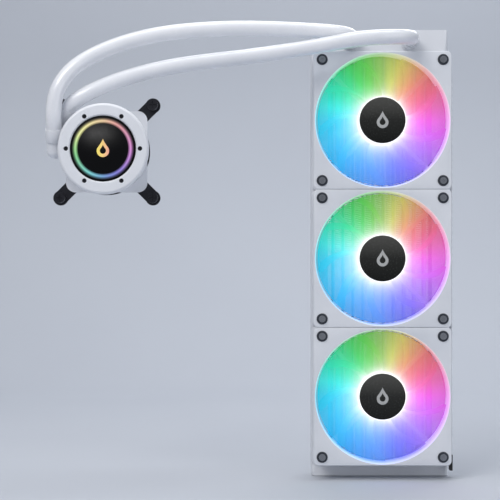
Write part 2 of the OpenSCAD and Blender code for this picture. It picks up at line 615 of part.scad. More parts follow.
// open coil spring under each screw head
module screw_springs() {
    turns = 3;
    seg = 12;
    color(steel) for (i = [-1, 1], k = [-1, 1])
        rod_along([for (q = [0 : turns * seg]) let (a = 360 * q / seg)
            [pump_x + i * bp + 3.4 * cos(a), plate_y - 9.25 - 4.3 * q / (turns * seg), pump_z + k * bp + 3.4 * sin(a)]], 0.4, 6, [0, 1, 0]);
}

radiator_tubes();
radiator_fins();
header_plate_top();
header_plate_bottom();
tank_top();
tank_divider();
tank_bottom();
side_channel_left();
side_channel_right();
radiator_barbs();
fill_plug();
hose_supply();
hose_return();
hose_ferrules_radiator();
hose_ferrules_pump();
fan_screws();
fan_washers();
fan_cables();
fan_connectors();
fan_frame_1();
fan_frame_2();
fan_frame_3();
fan_rotor_1();
fan_rotor_2();
fan_rotor_3();
fan_badge_1();
fan_badge_2();
fan_badge_3();
fan_magnet_1();
fan_magnet_2();
fan_magnet_3();
fan_shaft_1();
fan_shaft_2();
fan_shaft_3();
fan_bearings();
fan_stators();
fan_windings();
fan_circuit_boards();
pump_body();
pump_cover_ring();
pump_cover_screws();
pump_mirror_cap();
pump_light_ring();
pump_circuit_board();
pump_stator();
jet_plate();
cold_plate();
cold_plate_gasket();
cold_plate_screws();
mounting_bracket();
hose_elbow_lower();
hose_elbow_upper();
impeller();
impeller_magnet();
impeller_shaft();
spring_screw_1();
spring_screw_2();
spring_screw_3();
spring_screw_4();
screw_springs();
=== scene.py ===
"""Liquid CPU cooler: a radiator with three lit fans, two hoses and a pump head.

+Z is up and the fans' intake faces look towards -Y, where the camera stands. The radiator is
upright round x = 0 and the pump head is on its -X side. Shapes are in millimetres and become
metres when an object is made; shaders, lights, floor and camera are in metres.
"""

import colorsys
import json
import math
from collections import namedtuple

import bmesh
import bpy
import numpy as np
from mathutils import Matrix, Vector


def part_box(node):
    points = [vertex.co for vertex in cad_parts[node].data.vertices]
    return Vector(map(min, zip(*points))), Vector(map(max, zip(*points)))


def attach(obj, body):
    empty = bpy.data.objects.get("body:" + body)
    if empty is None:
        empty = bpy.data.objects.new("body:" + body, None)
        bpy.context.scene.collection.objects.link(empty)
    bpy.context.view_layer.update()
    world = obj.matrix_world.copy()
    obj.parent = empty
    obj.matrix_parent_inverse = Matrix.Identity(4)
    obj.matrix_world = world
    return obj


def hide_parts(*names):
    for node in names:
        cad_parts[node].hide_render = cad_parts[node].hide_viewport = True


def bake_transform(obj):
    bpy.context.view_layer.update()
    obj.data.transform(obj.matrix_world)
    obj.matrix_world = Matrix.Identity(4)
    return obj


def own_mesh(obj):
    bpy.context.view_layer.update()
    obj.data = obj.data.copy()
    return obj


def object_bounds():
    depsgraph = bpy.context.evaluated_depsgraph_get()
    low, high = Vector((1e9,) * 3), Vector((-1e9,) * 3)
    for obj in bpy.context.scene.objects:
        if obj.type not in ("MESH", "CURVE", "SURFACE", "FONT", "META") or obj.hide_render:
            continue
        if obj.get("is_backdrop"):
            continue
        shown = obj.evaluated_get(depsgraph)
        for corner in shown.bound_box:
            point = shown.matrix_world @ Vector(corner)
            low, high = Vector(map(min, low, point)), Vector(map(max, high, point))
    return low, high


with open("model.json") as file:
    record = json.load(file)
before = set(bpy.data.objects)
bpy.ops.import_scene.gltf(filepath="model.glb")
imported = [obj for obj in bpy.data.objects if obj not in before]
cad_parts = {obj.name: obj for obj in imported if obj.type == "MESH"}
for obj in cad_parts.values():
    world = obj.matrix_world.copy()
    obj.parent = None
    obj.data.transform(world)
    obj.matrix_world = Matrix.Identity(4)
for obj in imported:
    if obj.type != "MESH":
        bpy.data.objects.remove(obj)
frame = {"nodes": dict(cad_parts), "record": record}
cad_lo, cad_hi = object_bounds()
NODES = frame["nodes"]
MM = 0.001
PI = math.pi


# ------------------------------------------------------------------ places taken from the CAD
def mm_box(name):
    lo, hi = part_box(name)
    return np.array(lo) / MM, np.array(hi) / MM


Fan = namedtuple("Fan", "number x z front rear")    # centre, then the y of both faces
FANS = []
for number in (1, 2, 3):
    lo, hi = mm_box(f"fan_frame_{number}")
    FANS.append(Fan(number, (lo[0] + hi[0]) / 2, (lo[2] + hi[2]) / 2, lo[1], hi[1]))
ROTOR_BODY = {1: "rotor_top", 2: "rotor_middle", 3: "rotor_bottom"}

lo, hi = mm_box("pump_cover_ring")
PUMP_X, PUMP_Z = (lo[0] + hi[0]) / 2, (lo[2] + hi[2]) / 2
PLATE_REAR = mm_box("cold_plate")[1][1]


# ------------------------------------------------------------------ mesh helpers
def new_object(name, verts, faces):
    """Flat-shaded object from vertices in metres."""
    mesh = bpy.data.meshes.new(name)
    mesh.from_pydata(verts, [], faces)
    mesh.validate()
    mesh.update()
    ob = bpy.data.objects.new(name, mesh)
    bpy.context.scene.collection.objects.link(ob)
    return ob


def shade_smooth(mesh, sharp_angle):
    mesh.polygons.foreach_set("use_smooth", [True] * len(mesh.polygons))
    mesh.set_sharp_from_angle(angle=math.radians(sharp_angle))


class Shell:
    """Collects closed shells in millimetres."""

    def __init__(self):
        self.verts, self.faces = [], []

    def rings(self, rings, closed=False):
        """Skin rings of equal count. closed joins last to first, else both ends are capped."""
        start, total, count = len(self.verts), len(rings), len(rings[0])
        self.verts += [tuple(map(float, p)) for ring in rings for p in ring]
        faces = []
        for i in range(total if closed else total - 1):
            a, b = i * count, ((i + 1) % total) * count
            for j in range(count):
                k = (j + 1) % count
                faces.append((a + j, a + k, b + k, b + j))
        if not closed:
            faces.append(tuple(range(count - 1, -1, -1)))
            faces.append(tuple((total - 1) * count + j for j in range(count)))
        self.faces += [tuple(i + start for i in face) for face in faces]

    def lathe_y(self, cx, cz, profile, count):
        """Turn a closed (radius, y) profile round the Y axis through cx, cz."""
        turns = [2 * PI * j / count for j in range(count)]
        self.rings([[(cx + r * math.cos(a), y, cz + r * math.sin(a)) for a in turns]
                    for r, y in profile], closed=True)

    def object(self, name, material, sharp_angle):
        ob = new_object(name, [tuple(c * MM for c in v) for v in self.verts], self.faces)
        ob.data.materials.append(material)
        bm = bmesh.new()
        bm.from_mesh(ob.data)
        bmesh.ops.recalc_face_normals(bm, faces=bm.faces)
        bm.to_mesh(ob.data)
        bm.free()
        shade_smooth(ob.data, sharp_angle)
        return ob


def unit(v):
    v = np.asarray(v, float)
    return v / np.linalg.norm(v)


def tangents(points):
    tan = np.gradient(points, axis=0)
    return tan / np.linalg.norm(tan, axis=1)[:, None]


def carried_frames(points, across):
    """(point, u, v) along a curve, carried without twist; across sets the first u."""
    tan = tangents(points)
    u = unit(np.cross(tan[0], across))
    frames = []
    for point, t in zip(points, tan):
        u = unit(u - t * (u @ t))
        frames.append((point, u, np.cross(t, u)))
    return frames


def circle_about(centre, u, v, radius, count):
    return [centre + radius * (u * math.cos(a) + v * math.sin(a))
            for a in np.linspace(0, 2 * PI, count, endpoint=False)]


# ------------------------------------------------------------------ shader helpers
def srgb(r, g, b):
    def linear(c):
        c = c / 255.0
        return c / 12.92 if c <= 0.04045 else ((c + 0.055) / 1.055) ** 2.4
    return (linear(r), linear(g), linear(b), 1.0)


def tinted(color, factor):
    return tuple(c * factor for c in color[:3]) + (1,)


WHITE = (1, 1, 1, 1)


class Tree:
    """Small wrapper that makes node graphs readable."""

    def __init__(self, name):
        self.mat = bpy.data.materials.new(name)
        self.mat.use_nodes = True
        self.nt = self.mat.node_tree
        self.nt.nodes.clear()
        self.out = self.node("ShaderNodeOutputMaterial")
        self._pos = None
        self._obj = None

    def node(self, kind, **props):
        n = self.nt.nodes.new(kind)
        for key, value in props.items():
            setattr(n, key, value)
        return n

    def put(self, socket, value):
        """Link a socket, or set a plain value."""
        if isinstance(value, bpy.types.NodeSocket):
            self.nt.links.new(value, socket)
        else:
            socket.default_value = value

    def math(self, op, *values, clamp=False):
        n = self.node("ShaderNodeMath", operation=op, use_clamp=clamp)
        for socket, value in zip(n.inputs, values):
            self.put(socket, value)
        return n.outputs[0]

    def add(self, a, b):
        return self.math("ADD", a, b)

    def sub(self, a, b):
        return self.math("SUBTRACT", a, b)

    def mul(self, a, b):
        return self.math("MULTIPLY", a, b)

    def div(self, a, b):
        return self.math("DIVIDE", a, b)

    def affine(self, value, gain, offset):
        return self.math("MULTIPLY_ADD", value, gain, offset)

    def obj(self):
        if self._obj is None:
            self._obj = self.node("ShaderNodeTexCoord").outputs["Object"]
        return self._obj

    def pos(self):
        if self._pos is None:
            self._pos = self.node("ShaderNodeNewGeometry").outputs["Position"]
        return self._pos

    def xyz(self):
        """World position as three sockets."""
        n = self.node("ShaderNodeSeparateXYZ")
        self.put(n.inputs[0], self.pos())
        return n.outputs

    def backfacing(self):
        return self.node("ShaderNodeNewGeometry").outputs["Backfacing"]

    def noise(self, scale, detail=3.0, rough=0.5, vec=None):
        n = self.node("ShaderNodeTexNoise")
        self.put(n.inputs["Vector"], vec if vec is not None else self.obj())
        n.inputs["Scale"].default_value = scale
        n.inputs["Detail"].default_value = detail
        n.inputs["Roughness"].default_value = rough
        return n.outputs["Fac"]

    def remap(self, value, span, to, smooth=False):
        n = self.node("ShaderNodeMapRange")
        if smooth:
            n.interpolation_type = "SMOOTHSTEP"
        self.put(n.inputs["Value"], value)
        for key, x in zip(("From Min", "From Max", "To Min", "To Max"), (*span, *to)):
            self.put(n.inputs[key], x)
        return n.outputs["Result"]

    def spread(self, noise, to=(0, 1)):
        """Stretch the middle of a noise, where nearly all of it lies, over a range."""
        return self.remap(noise, span=(0.3, 0.7), to=to)

    def mix(self, factor, a, b):
        n = self.node("ShaderNodeMix", data_type="RGBA")
        self.put(n.inputs["Factor"], factor)
        self.put(n.inputs[6], a)
        self.put(n.inputs[7], b)
        return n.outputs[2]

    def scale_vec(self, vec, factors):
        n = self.node("ShaderNodeVectorMath", operation="MULTIPLY")
        self.put(n.inputs[0], vec)
        n.inputs[1].default_value = factors
        return n.outputs[0]

    def bump(self, height, strength, distance):
        n = self.node("ShaderNodeBump")
        self.put(n.inputs["Height"], height)
        n.inputs["Strength"].default_value = strength
        n.inputs["Distance"].default_value = distance
        return n.outputs["Normal"]

    def ramp(self, factor, stops):
        n = self.node("ShaderNodeValToRGB")
        elements = n.color_ramp.elements
        while len(elements) > 1:
            elements.remove(elements[-1])
        elements[0].position, elements[0].color = stops[0]
        for position, color in stops[1:]:
            elements.new(position).color = color
        self.put(n.inputs[0], factor)
        return n.outputs[0]

    def bsdf(self, color, rough, metallic=0.0, normal=None, **extra):
        """Principled shader; extra inputs are named with _ for each space."""
        n = self.node("ShaderNodeBsdfPrincipled")
        self.put(n.inputs["Base Color"], color)
        self.put(n.inputs["Roughness"], rough)
        self.put(n.inputs["Metallic"], metallic)
        if normal is not None:
            self.put(n.inputs["Normal"], normal)
        for key, value in extra.items():
            self.put(n.inputs[key.replace("_", " ")], value)
        return n.outputs[0]

    def emission(self, color, strength):
        n = self.node("ShaderNodeEmission")
        self.put(n.inputs["Color"], color)
        self.put(n.inputs["Strength"], strength)
        return n.outputs[0]

    def add_shaders(self, a, b):
        n = self.node("ShaderNodeAddShader")
        self.put(n.inputs[0], a)
        self.put(n.inputs[1], b)
        return n.outputs[0]

    def see_through(self, factor, shader):
        """Fade a shader to fully transparent as factor goes to 1."""
        n = self.node("ShaderNodeMixShader")
        self.put(n.inputs[0], factor)
        self.put(n.inputs[1], shader)
        self.put(n.inputs[2], self.node("ShaderNodeBsdfTransparent").outputs[0])
        return n.outputs[0]

    def surface(self, socket):
        self.put(self.out.inputs["Surface"], socket)
        return self.mat


# ------------------------------------------------------------------ colours of the light
# Clock angle seen from the front, hue in degrees, saturation, brightness
FAN_LAMPS = [
    (0, 90, 0.50, 0.75), (45, 5, 0.50, 0.90), (90, 305, 0.60, 0.95), (135, 260, 0.50, 1.0),
    (180, 220, 0.60, 1.0), (225, 200, 0.80, 1.0), (270, 190, 0.85, 0.95), (315, 155, 0.75, 0.85),
]
RING_LAMPS = [
    (0, 35, 0.35, 0.95), (60, 330, 0.35, 0.85), (120, 275, 0.45, 0.85),
    (180, 210, 0.55, 0.85), (240, 150, 0.45, 0.80), (300, 65, 0.35, 0.95),
]


def lamp_stops(lamps, steps=24):
    """Ramp stops clockwise from six o'clock; hues blend the short way round the wheel."""
    stops = []
    for k in range(steps + 1):
        angle = (360.0 * k / steps + 180) % 360
        n = max(m for m, lamp in enumerate(lamps) if lamp[0] <= angle)
        angle0, hue0, sat0, val0 = lamps[n]
        angle1, hue1, sat1, val1 = lamps[(n + 1) % len(lamps)]
        w = (angle - angle0) / ((angle1 - angle0) % 360)
        hue = hue0 + ((hue1 - hue0 + 180) % 360 - 180) * w
        rgb = colorsys.hsv_to_rgb((hue % 360) / 360, sat0 + (sat1 - sat0) * w,
                                  val0 + (val1 - val0) * w)
        stops.append((k / steps, srgb(*(255 * c for c in rgb))))
    return stops


FAN_STOPS, RING_STOPS = lamp_stops(FAN_LAMPS), lamp_stops(RING_LAMPS)


def rainbow(t, cx, cz, stops):
    """Colour by clock angle round (cx, cz), then the offsets and the distance from it."""
    px, _, pz = t.xyz()
    x = t.sub(px, cx * MM)
    z = t.sub(pz, cz * MM)
    turn = t.affine(t.math("ARCTAN2", x, z), gain=1 / (2 * PI), offset=0.5)
    r = t.math("SQRT", t.add(t.mul(x, x), t.mul(z, z)))
    return t.ramp(turn, stops), x, z, r


def fan_glow(t, fan):
    """Light of one fan: hue, whiteness near the hub, power and radius.

    The whiteness reaches furthest down and towards -X; the power falls towards the tips.
    """
    lean_x, lean_z = -0.574, -0.819         # direction in which the whiteness reaches furthest
    reach, reach_change = 0.0060, 0.0014    # fall-off length and its change with direction
    white_start, white_peak = 0.0212, 0.85  # radius where the fall-off begins, most whiteness
    white_power = 0.25                      # power added where it is white
    hue, x, z, r = rainbow(t, fan.x, fan.z, FAN_STOPS)
    lean = t.add(t.mul(t.div(x, r), lean_x), t.mul(t.div(z, r), lean_z))
    length = t.affine(lean, gain=reach_change, offset=reach)
    white = t.math("EXPONENT", t.div(t.sub(white_start, r), length))
    white = t.math("MULTIPLY", white, white_peak, clamp=True)
    power = t.add(t.remap(r, span=(0.034, 0.056), to=(1.12, 0.81)), t.mul(white, white_power))
    return hue, white, power, r


# ------------------------------------------------------------------ plain materials
def moulded(name, base, rough, grain=0.35, **extra):
    """Injection moulded plastic: fine grain, faint flow variation, dull patches."""
    t = Tree(name)
    big = t.noise(scale=18)
    fine = t.noise(scale=2600, detail=2, rough=0.6)
    mid = t.noise(scale=420)
    flow = t.remap(big, span=(0.35, 0.65), to=(0, 1))
    col = t.mix(flow, tinted(base, 0.97), tinted(base, 1.03))
    roughness = t.add(t.spread(mid, to=(rough - 0.05, rough + 0.06)),
                      t.spread(fine, to=(-0.03, 0.03)))
    height = t.add(t.mul(fine, 0.7), t.mul(mid, 0.5))
    normal = t.bump(height, strength=grain, distance=0.00006)
    settings = {"Specular_IOR_Level": 0.5, "Coat_Weight": 0.0, "Coat_Roughness": 0.15, **extra}
    return t.surface(t.bsdf(col, roughness, normal=normal, **settings))


def powder(name, base, rough=0.42):
    """Powder-coated metal: orange-peel bump and a soft satin sheen."""
    t = Tree(name)
    peel = t.noise(scale=900, detail=2)
    cell = t.node("ShaderNodeTexVoronoi")
    t.put(cell.inputs["Vector"], t.obj())
    cell.inputs["Scale"].default_value = 1500
    col = t.mix(t.spread(t.noise(scale=14, detail=2)), tinted(base, 0.96), base)
    height = t.add(peel, t.mul(cell.outputs["Distance"], 0.4))
    return t.surface(t.bsdf(
        col, t.spread(peel, to=(rough - 0.05, rough + 0.08)),
        normal=t.bump(height, strength=0.4, distance=0.00008),
        Coat_Weight=0.15, Coat_Roughness=0.3))


def metal(name, base, rough, brushed=None):
    """Bare metal; brushed scales the coordinates of a finer grain."""
    t = Tree(name)
    vec = t.obj()
    if brushed is not None:
        vec = t.scale_vec(vec, brushed)
    streak = t.noise(scale=3000 if brushed else 1800, rough=0.6, vec=vec)
    col = t.mix(t.spread(t.noise(scale=60, detail=2)), tinted(base, 0.86), base)
    return t.surface(t.bsdf(
        col, t.spread(streak, to=(rough - 0.07, rough + 0.1)), metallic=1.0,
        normal=t.bump(streak, strength=0.25, distance=0.00004)))


def hose_rubber():
    """Smooth white rubber with soft long highlights and a very fine grain."""
    t = Tree("hose_white")
    big = t.noise(scale=26)
    fine = t.noise(scale=1500, rough=0.55)
    height = t.add(t.mul(fine, 0.35), t.mul(t.noise(scale=120, detail=2), 0.6))
    return t.surface(t.bsdf(
        t.mix(t.spread(big), srgb(226, 228, 233), srgb(238, 239, 243)),
        t.spread(fine, to=(0.22, 0.30)),
        normal=t.bump(height, strength=0.22, distance=0.00012),
        Specular_IOR_Level=0.55, Coat_Weight=0.35, Coat_Roughness=0.12,
        Subsurface_Weight=0.05, Subsurface_Radius=(0.004, 0.004, 0.005)))


def mirror_cap():
    """Deep black polished cap with a painted soft grey reflection near its upper edge."""
    # centre of the painted reflection, mm
    painted_sheen_x, painted_sheen_z = PUMP_X - 4, PUMP_Z + 13
    flatten = 0.45              # below 1 makes the painted reflection wider than high
    falloff = -0.00007          # squared distance of the fall-off
    t = Tree("mirror_black")
    px, _, pz = t.xyz()
    dx = t.sub(px, painted_sheen_x * MM)
    dz = t.sub(pz, painted_sheen_z * MM)
    distance = t.add(t.mul(t.mul(dx, dx), flatten), t.mul(dz, dz))
    sheen = t.math("EXPONENT", t.div(distance, falloff))
    smudge = t.noise(scale=160, rough=0.6)
    sheen = t.mul(sheen, t.spread(smudge, to=(0.75, 1.0)))
    # painted reflection: grey mixed into the near-black base colour where sheen is high, broken
    # up by smudges
    return t.surface(t.bsdf(
        t.mix(sheen, (0.0022, 0.0022, 0.0028, 1), (0.085, 0.082, 0.078, 1)),
        t.remap(smudge, span=(0.35, 0.65), to=(0.04, 0.10)),
        normal=t.bump(t.noise(scale=900, detail=2), strength=0.04, distance=0.00002),
        Specular_IOR_Level=0.16))


def black_gloss():
    """Glossy black with streaky roughness."""
    tint = (0.010, 0.010, 0.012, 1)
    t = Tree("badge_black")
    fine = t.noise(scale=700, detail=2)
    scratch = t.noise(scale=500, detail=2, vec=t.scale_vec(t.obj(), (1, 1, 14)))
    return t.surface(t.bsdf(
        t.mix(t.spread(fine), tint, tinted(tint, 1.5)),
        t.remap(scratch, span=(0.45, 0.75), to=(0.16, 0.24)),
        normal=t.bump(fine, strength=0.12, distance=0.00003),
        Specular_IOR_Level=0.6, Coat_Weight=0.8, Coat_Roughness=0.1))


def circuit_board():
    t = Tree("circuit_board_green")
    cells = t.node("ShaderNodeTexVoronoi", feature="DISTANCE_TO_EDGE")
    t.put(cells.inputs["Vector"], t.obj())
    cells.inputs["Scale"].default_value = 420
    trace = t.remap(cells.outputs["Distance"], span=(0.03, 0.08), to=(1, 0))
    return t.surface(t.bsdf(
        t.mix(trace, (0.015, 0.10, 0.045, 1), (0.05, 0.26, 0.11, 1)),
        t.spread(t.noise(scale=900), to=(0.3, 0.45)),
        normal=t.bump(trace, strength=0.3, distance=0.00005)))


def winding():
    t = Tree("enamelled_copper")
    wave = t.node("ShaderNodeTexWave", wave_type="BANDS", bands_direction="DIAGONAL")
    t.put(wave.inputs["Vector"], t.obj())
    wave.inputs["Scale"].default_value = 700
    wire = wave.outputs["Fac"]
    return t.surface(t.bsdf(
        t.mix(wire, (0.30, 0.09, 0.03, 1), (0.72, 0.30, 0.13, 1)), rough=0.35, metallic=0.85,
        normal=t.bump(wire, strength=0.6, distance=0.0001)))


# ------------------------------------------------------------------ lit materials
def light_ring():
    """Dark gloss with a thin band of coloured light."""
    band_radius, band_width = 0.0227, 0.00125
    t = Tree("light_ring")
    hue, _, _, r = rainbow(t, PUMP_X, PUMP_Z, RING_STOPS)
    off = t.div(t.sub(r, band_radius), band_width)
    core = t.math("EXPONENT", t.mul(t.mul(off, off), -1.0))
    light = t.emission(t.mix(t.mul(core, 0.08), hue, WHITE),
                       t.remap(core, span=(0, 1), to=(0.03, 0.92)))
    gloss = t.bsdf((0.015, 0.015, 0.015, 1), t.spread(t.noise(scale=900), to=(0.05, 0.12)),
                   Coat_Weight=0.6)
    return t.surface(t.add_shaders(light, gloss))


def blade_mat(fan):
    """Frosted translucent blade, lit from the hub outward."""
    clearness = 0.23            # share seen through the front faces; back faces are clear
    darkening = 0.93            # how far the unlit colour goes to near black
    t = Tree(f"frosted_blade_{fan.number}")
    hue, white, power, _ = fan_glow(t, fan)
    power = t.mul(power, t.spread(t.noise(scale=240, detail=2), to=(0.97, 1.02)))
    light = t.emission(t.mix(white, hue, WHITE), power)
    fine = t.noise(scale=1800, detail=2)
    body = t.bsdf(t.mix(darkening, hue, (0.008, 0.008, 0.008, 1)),
                  t.spread(fine, to=(0.36, 0.48)),
                  normal=t.bump(fine, strength=0.25, distance=0.00005),
                  Specular_IOR_Level=0.12)
    clear = t.math("MAXIMUM", t.backfacing(), clearness)
    return t.surface(t.see_through(clear, t.add_shaders(light, body)))


def frame_mat(fan):
    """White moulded fan frame whose duct wall and inner lip pick up the glow."""
    t = Tree(f"fan_frame_white_{fan.number}")
    big = t.noise(scale=16)
    fine = t.noise(scale=2400, detail=2, rough=0.6)
    mid = t.noise(scale=380)
    col = t.mix(t.remap(big, span=(0.35, 0.65), to=(0, 1)),
                srgb(214, 217, 223), srgb(224, 226, 231))
    normal = t.bump(t.add(fine, t.mul(mid, 0.6)), strength=0.35, distance=0.00006)
    plastic = t.bsdf(col, t.spread(mid, to=(0.34, 0.46)), normal=normal)
    hue, _, _, r = rainbow(t, fan.x, fan.z, FAN_STOPS)
    # everything inside the duct is lit, the flat faces are not
    inside = t.remap(r, span=(0.05860, 0.05890), to=(1, 0))
    lip = t.remap(r, span=(0.0576, 0.0584), to=(0, 1))
    pale = t.mix(t.affine(lip, gain=0.12, offset=0.05), hue, WHITE)
    # the light fades just in front of the rear flange
    fade = t.remap(t.xyz()[1], span=((fan.rear - 5.2) * MM, (fan.rear - 4.0) * MM), to=(1, 0.35))
    strength = t.mul(t.mul(inside, fade), t.affine(lip, gain=0.14, offset=0.36))
    return t.surface(t.add_shaders(plastic, t.emission(pale, strength)))


def glow_paint(name, base, strength):
    """Radiator paint behind the fans, which the fans' light falls on."""
    t = Tree(name)
    peel = t.noise(scale=900, detail=2)
    hues, powers = [], []
    for fan in FANS:
        hue, _, power, r = fan_glow(t, fan)
        inside = t.remap(r, span=(0.0570, 0.0600), to=(1, 0), smooth=True)
        hub_shade = t.remap(r, span=(0.0190, 0.0240), to=(0.06, 1), smooth=True)
        hues.append(hue)
        powers.append(t.mul(t.mul(power, inside), hub_shade))
    total = t.add(t.add(powers[0], powers[1]), powers[2])
    # each point takes the hue of the fan that lights it
    lit = 0.001
    hue = t.mix(t.math("GREATER_THAN", powers[0], lit), hues[1], hues[0])
    hue = t.mix(t.math("GREATER_THAN", powers[2], lit), hue, hues[2])
    fade = t.remap(t.xyz()[1], span=(-0.0225, -0.010), to=(1, 0.1))
    paint = t.bsdf(t.mix(t.spread(peel), tinted(base, 0.96), base),
                   t.spread(peel, to=(0.42, 0.55)),
                   normal=t.bump(peel, strength=0.4, distance=0.00006))
    light = t.emission(hue, t.mul(t.mul(total, fade), strength))
    return t.surface(t.add_shaders(paint, light))


def badge_mat(fan):
    """Near-black gloss disc with a painted reflection that makes it paler towards its upper
    edge.
    """
    reach = 19                  # half the height of the painted reflection's gradient, mm
    t = Tree(f"badge_black_{fan.number}")
    up = t.remap(t.xyz()[2], span=((fan.z - reach) * MM, (fan.z + reach) * MM), to=(0, 1))
    fine = t.noise(scale=700, detail=2)
    # painted reflection: the base colour lightens towards the top, fixed in the world while the
    # rotor turns
    col = t.ramp(up, [(0, (0.005, 0.0055, 0.0045, 1)), (0.5, (0.020, 0.020, 0.018, 1)),
                      (0.85, (0.062, 0.061, 0.055, 1)), (1, (0.074, 0.073, 0.066, 1))])
    return t.surface(t.bsdf(col, t.spread(fine, to=(0.2, 0.3)),
                            normal=t.bump(fine, strength=0.1, distance=0.00003),
                            Specular_IOR_Level=0.25))


MATERIALS = {
    "radiator_paint": powder("radiator_white", srgb(224, 226, 231)),
    "black_plastic": moulded("plug_black", srgb(26, 26, 28), rough=0.45),
    "hose_rubber": hose_rubber(),
    "white_plastic": moulded("white_moulding", srgb(226, 228, 233), rough=0.33, Coat_Weight=0.1),
    "black_screw": metal("black_oxide", (0.045, 0.045, 0.052, 1), rough=0.38),
    "fan_screw": metal("nickel_screw", (0.30, 0.31, 0.335, 1), rough=0.32, brushed=(1, 1, 1)),
    "black_washer": moulded("washer_rubber", srgb(58, 62, 70), rough=0.6, grain=0.5,
                            Specular_IOR_Level=0.3),
    "white_cable": moulded("cable_white", srgb(225, 226, 230), rough=0.4),
    "black_gloss": black_gloss(),
    "magnet_steel": metal("magnet_steel", (0.36, 0.36, 0.38, 1), rough=0.4),
    "bright_steel": metal("ground_steel", (0.72, 0.72, 0.74, 1), rough=0.22, brushed=(1, 8, 1)),
    "bronze": metal("sintered_bronze", (0.55, 0.36, 0.16, 1), rough=0.45),
    "copper": metal("machined_copper", (0.86, 0.44, 0.27, 1), rough=0.24, brushed=(1, 1, 10)),
    "circuit_board": circuit_board(),
    "black_mirror": mirror_cap(),
    "seal_rubber": moulded("seal_rubber", srgb(22, 22, 22), rough=0.6, grain=0.5),
    "ceramic_white": moulded("ceramic", srgb(232, 230, 222), rough=0.15),
    "light_diffuser": light_ring(),
}
for fan in FANS:
    MATERIALS[f"blade_{fan.number}"] = blade_mat(fan)
    MATERIALS[f"frame_{fan.number}"] = frame_mat(fan)
    MATERIALS[f"badge_{fan.number}"] = badge_mat(fan)
MATERIALS["winding"] = winding()
MATERIALS["fin"] = glow_paint("fin_white", srgb(222, 224, 230), strength=0.55)
MATERIALS["tube"] = glow_paint("tube_white", srgb(216, 218, 224), strength=0.10)


# ------------------------------------------------------------------ finish of the CAD pieces
SLOT = {part["node"]: part["material_slot"] for part in frame["record"]["subparts"]}
# Pieces whose material differs from that of their slot
SPECIAL = {"fan_windings": "winding", "radiator_tubes": "tube", "fan_screws": "fan_screw"}
for number in ROTOR_BODY:
    SPECIAL[f"fan_frame_{number}"] = f"frame_{number}"
    SPECIAL[f"fan_rotor_{number}"] = f"blade_{number}"
    SPECIAL[f"fan_badge_{number}"] = f"badge_{number}"

# Width of the rounded edges, mm
BEVEL = {
    "tank_top": 0.9, "tank_bottom": 0.9, "mounting_bracket": 0.3,
    "fan_connectors": 0.25, "fan_washers": 0.35,
    "fan_badge_1": 0.3, "fan_badge_2": 0.3, "fan_badge_3": 0.3,
    "hose_ferrules_radiator": 0.25, "hose_ferrules_pump": 0.25,
}


def finish_node(name):
    ob = NODES[name]
    ob.data.materials.clear()
    ob.data.materials.append(MATERIALS[SPECIAL.get(name, SLOT.get(name, "white_plastic"))])
    ob.data.polygons.foreach_set("material_index", [0] * len(ob.data.polygons))
    weld = ob.modifiers.new("weld", "WELD")
    weld.merge_threshold = 0.000002
    if name in BEVEL:
        edge = ob.modifiers.new("edge", "BEVEL")
        edge.width = BEVEL[name] * MM
        edge.segments = 2
        edge.limit_method = "ANGLE"
        edge.angle_limit = math.radians(32)
        edge.harden_normals = True


for name in NODES:
    finish_node(name)


# ------------------------------------------------------------------ hoses
HOSE_OUTER, HOSE_BORE = 6.5, 4.25       # radii
HOSE_SIDES = 40

barb_lo, barb_hi = mm_box("radiator_barbs")
BARB_X = barb_hi[0] - 8                 # the barbs stand at -BARB_X and +BARB_X
BARB_Z = (barb_lo[2] + barb_hi[2]) / 2
TANK_FRONT = barb_hi[1] - 1.9

# Pump ports: base point and outward direction
LOW_TILT, UP_TILT, UP_LEAN = map(math.radians, (24, 25, 30))
UP_RADIUS, UP_ANGLE = 43.7, math.radians(153.5)     # angle from +X towards +Z
LOW_PORT = (PUMP_X - 41.7, PLATE_REAR - 26, PUMP_Z)
LOW_AXIS = (0, -math.sin(LOW_TILT), math.cos(LOW_TILT))
UP_PORT = (PUMP_X + UP_RADIUS * math.cos(UP_ANGLE), PLATE_REAR - 18.5,
           PUMP_Z + UP_RADIUS * math.sin(UP_ANGLE))
UP_AXIS = (math.sin(UP_LEAN) * math.cos(UP_TILT), -math.sin(UP_TILT),
           math.cos(UP_LEAN) * math.cos(UP_TILT))

# Control points (x, y, z) from the radiator to the pump
SUPPLY_WAY = [
    (-27.5, -58, 192.3), (-39, -67, 193.7), (-60, -69, 194.7), (-91, -72, 196),
    (-124, -76, 196), (-155, -82, 194), (-186, -89, 190), (-215, -96, 183),
    (-242, -104, 172), (-265.3, -110.5, 157), (-277.2, -114.5, 137),
]
RETURN_WAY = [
    (25, -60, 190.3), (17, -72, 189.3), (0, -77.5, 188.5), (-24, -78.5, 187),
    (-58, -78.5, 180), (-90, -79, 175), (-121, -80.5, 170.4), (-152, -84, 166.6),
    (-180, -89, 162.1), (-207, -95, 155.4), (-231, -101, 147), (-251, -105.5, 137.6),
]
# Name, barb x, way, port, port axis, distances of the last control points from the port
HOSES = [
    ("hose_supply", -BARB_X, SUPPLY_WAY, LOW_PORT, LOW_AXIS, (31, 25, 19, 13, 8)),
    ("hose_return", BARB_X, RETURN_WAY, UP_PORT, UP_AXIS, (25, 19, 13, 8)),
]


def spline(way, steps=8, min_gap=0.35):
    """Uniform cubic B-spline that starts and ends on the way's ends."""
    c = [np.array(p, float) for p in [way[0]] * 2 + way + [way[-1]] * 2]
    points = []
    for i in range(len(c) - 3):
        for k in range(steps):
            t = k / steps
            points.append((c[i] * (1 - t) ** 3 + c[i + 1] * (3 * t ** 3 - 6 * t * t + 4)
                           + c[i + 2] * (-3 * t ** 3 + 3 * t * t + 3 * t + 1)
                           + c[i + 3] * t ** 3) / 6)
    points.append(c[-1])
    keep = [points[0]]
    for p in points[1:]:
        if np.linalg.norm(p - keep[-1]) > min_gap:
            keep.append(p)
    return np.array(keep)


